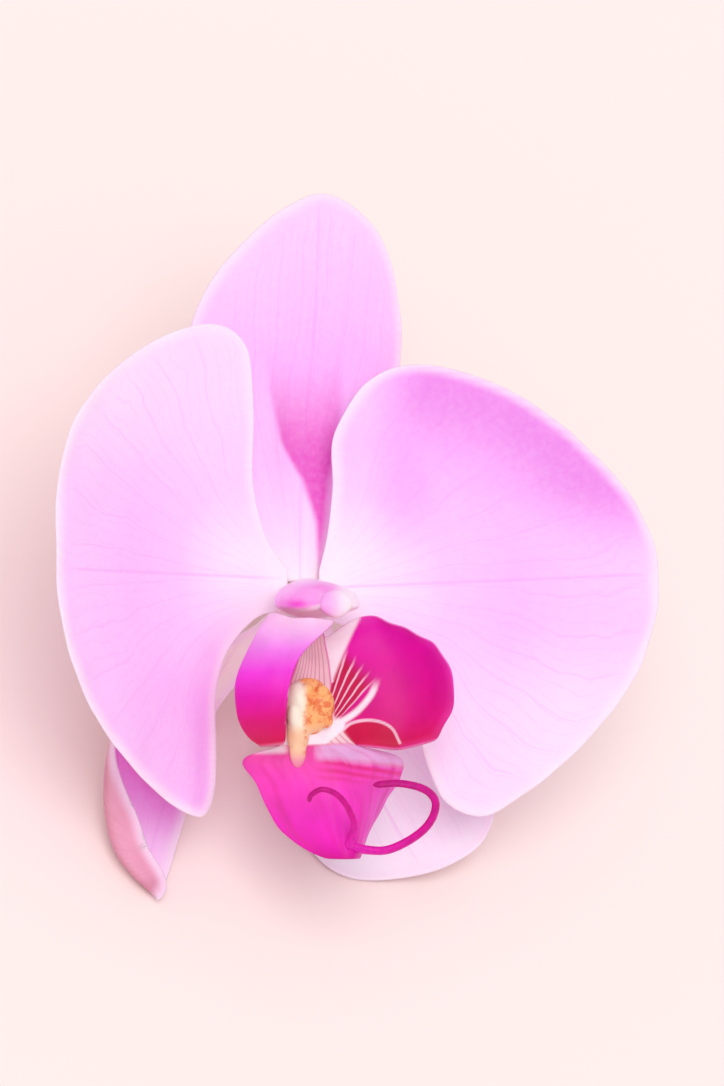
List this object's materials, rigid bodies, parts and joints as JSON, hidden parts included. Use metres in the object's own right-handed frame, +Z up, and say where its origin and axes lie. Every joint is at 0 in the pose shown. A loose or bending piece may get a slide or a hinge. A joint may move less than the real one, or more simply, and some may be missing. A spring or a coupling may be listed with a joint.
{
  "type": "phalaenopsis orchid flower",
  "caption": "Single moth orchid flower picked with its stalk, lying face up: pink petals and sepals round a magenta lip with curled tendrils.",
  "frame": {"origin": "centre of the flower's footprint on the surface it lies on", "axes": "+Z up off the surface; the face of the flower looks up and towards -Y, the upper sepal points towards +Y, and +X runs to the viewer's right across the face"},
  "size_m": [0.0852, 0.0856, 0.0443],
  "materials": {
    "sepal": "satin, waxy pale orchid pink with darker veins",
    "petal": "satin, waxy pale orchid pink with fine veins and a white base",
    "lip": "waxy magenta to crimson, with a yellow speckled callus and pale stripes in the throat",
    "column": "satin pink",
    "anther": "cream white",
    "stalk": "matt olive green turning rosy towards the flower"
  },
  "bodies": {
    "root": {"dorsal_sepal": "sepal", "lateral_sepal_left": "sepal", "lateral_sepal_right": "sepal", "petal_left": "petal", "petal_right": "petal", "lip": "lip", "column": "column", "anther_cap": "anther", "pedicel": "stalk"}
  },
  "joints": []
}
